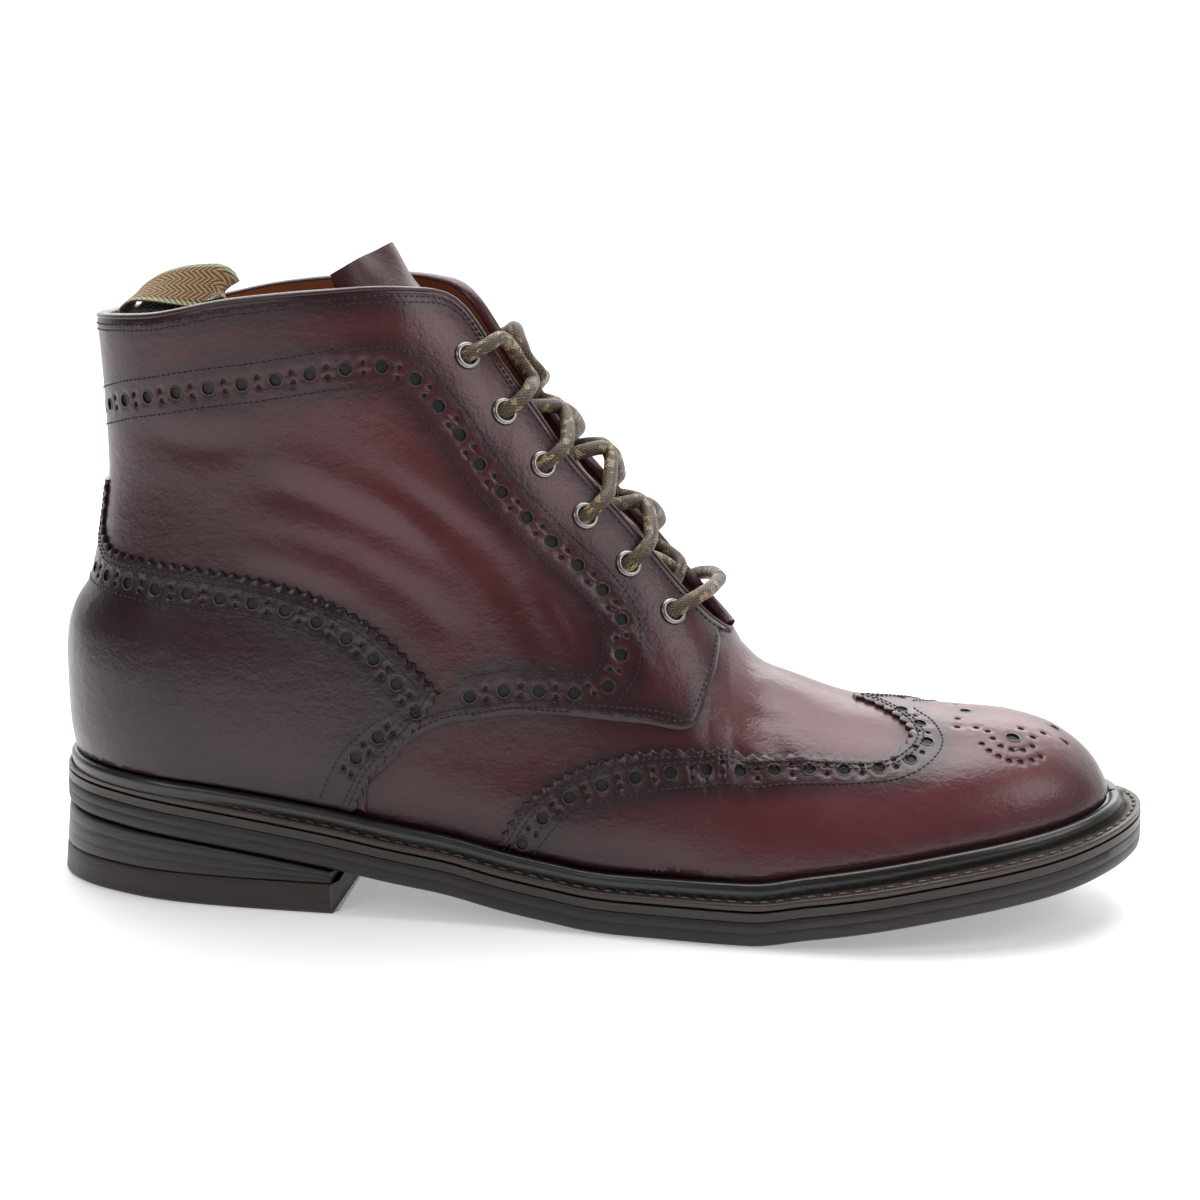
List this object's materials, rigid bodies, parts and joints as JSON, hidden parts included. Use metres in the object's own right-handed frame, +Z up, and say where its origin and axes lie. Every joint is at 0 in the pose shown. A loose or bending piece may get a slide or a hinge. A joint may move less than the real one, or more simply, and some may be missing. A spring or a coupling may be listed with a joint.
{
  "type": "brogue boot",
  "caption": "Wingtip derby ankle boot with perforated overlays, laced throat, storm welt, rubber outsole and stacked heel, standing empty on its sole.",
  "frame": {"origin": "middle of the heel's top piece, on the face that rests on the floor", "axes": "+X from the heel to the toe, +Y to the inside of the foot, +Z up"},
  "size_m": [0.3047, 0.1081, 0.177],
  "materials": {
    "leather": "burnished burgundy, smooth",
    "dark_leather": "burnished dark burgundy, smooth",
    "welt": "waxed, dark brown",
    "midsole": "waxed edge, dark brown",
    "rubber": "matt dark brown",
    "heel_stack": "waxed stacked lifts",
    "insole": "plain tan",
    "lace": "waxed round lace",
    "nickel": "worn nickel",
    "webbing": "woven herringbone tape"
  },
  "bodies": {
    "root": {"outsole": "rubber", "midsole": "midsole", "welt": "welt", "heel": "heel_stack", "top_piece": "rubber", "insole": "insole", "upper": "leather", "wing_cap": "leather", "counter": "dark_leather", "quarter_lateral": "leather", "quarter_medial": "leather", "tongue": "dark_leather", "laces": "lace", "pull_loop": "webbing", "eyelet_lateral_1": "nickel", "eyelet_lateral_2": "nickel", "eyelet_lateral_3": "nickel", "eyelet_lateral_4": "nickel", "eyelet_lateral_5": "nickel", "eyelet_lateral_6": "nickel", "eyelet_medial_1": "nickel", "eyelet_medial_2": "nickel", "eyelet_medial_3": "nickel", "eyelet_medial_4": "nickel", "eyelet_medial_5": "nickel", "eyelet_medial_6": "nickel"}
  },
  "joints": []
}
